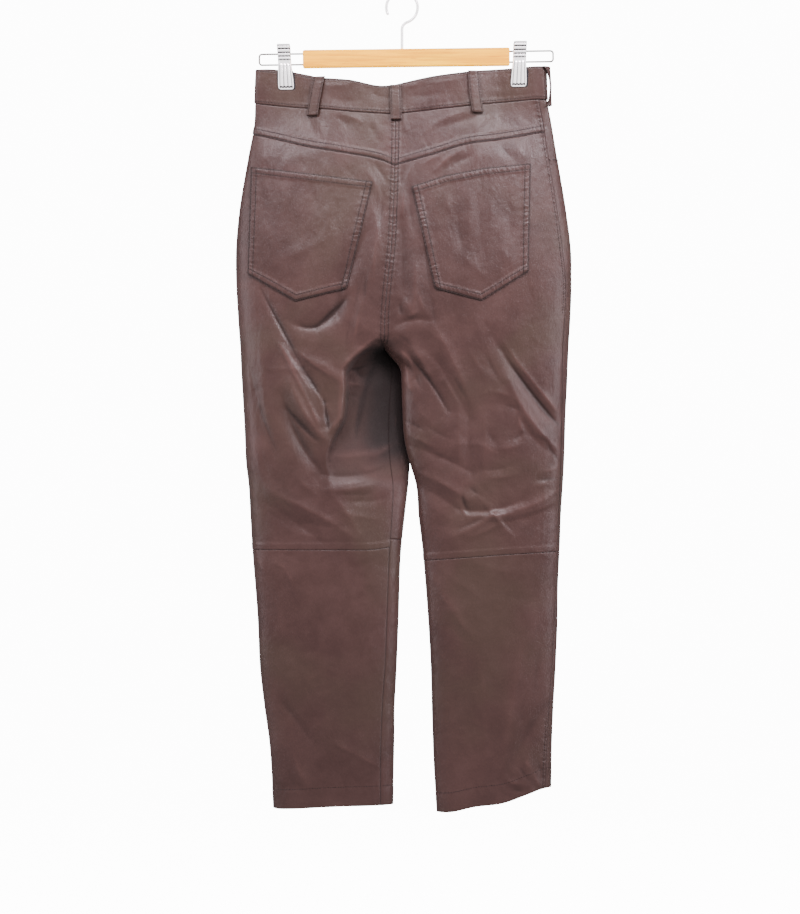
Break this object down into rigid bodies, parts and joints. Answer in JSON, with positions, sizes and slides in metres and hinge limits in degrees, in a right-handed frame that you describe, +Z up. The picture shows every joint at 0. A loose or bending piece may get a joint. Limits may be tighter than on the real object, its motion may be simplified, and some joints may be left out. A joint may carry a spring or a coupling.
{
  "type": "leather trousers on a clip hanger",
  "caption": "Brown leather five-pocket trousers, clipped by the waistband to a wooden bar hanger with a wire hook.",
  "frame": {"origin": "inside top of the hanger's hook, where a rail carries it", "axes": "+Z up, -Y out of the back of the garment, +X to the wearer's right"},
  "size_m": [0.4283, 0.0739, 1.0504],
  "materials": {
    "leather": "satin nappa",
    "wood": "clear lacquer",
    "steel": "polished"
  },
  "bodies": {
    "root": {"back_lower_left": "leather", "back_lower_right": "leather", "back_pocket_left": "leather", "back_pocket_right": "leather", "back_upper_left": "leather", "back_upper_right": "leather", "belt_loop_back_centre": "leather", "belt_loop_back_left": "leather", "belt_loop_back_right": "leather", "belt_loop_front_left": "leather", "belt_loop_front_right": "leather", "clip_left_front": "steel", "clip_left_rear": "steel", "clip_left_spring": "steel", "clip_right_front": "steel", "clip_right_rear": "steel", "clip_right_spring": "steel", "fly": "leather", "front_lower_left": "leather", "front_lower_right": "leather", "front_upper_left": "leather", "front_upper_right": "leather", "hanger_bar": "wood", "hanger_hook": "steel", "hanger_loop_left": "steel", "hanger_loop_right": "steel", "pocket_side_left": "leather", "pocket_side_right": "leather", "waist_button": "steel", "waistband_back": "leather", "waistband_front_left": "leather", "waistband_front_right": "leather", "yoke_left": "leather", "yoke_right": "leather"}
  },
  "joints": []
}
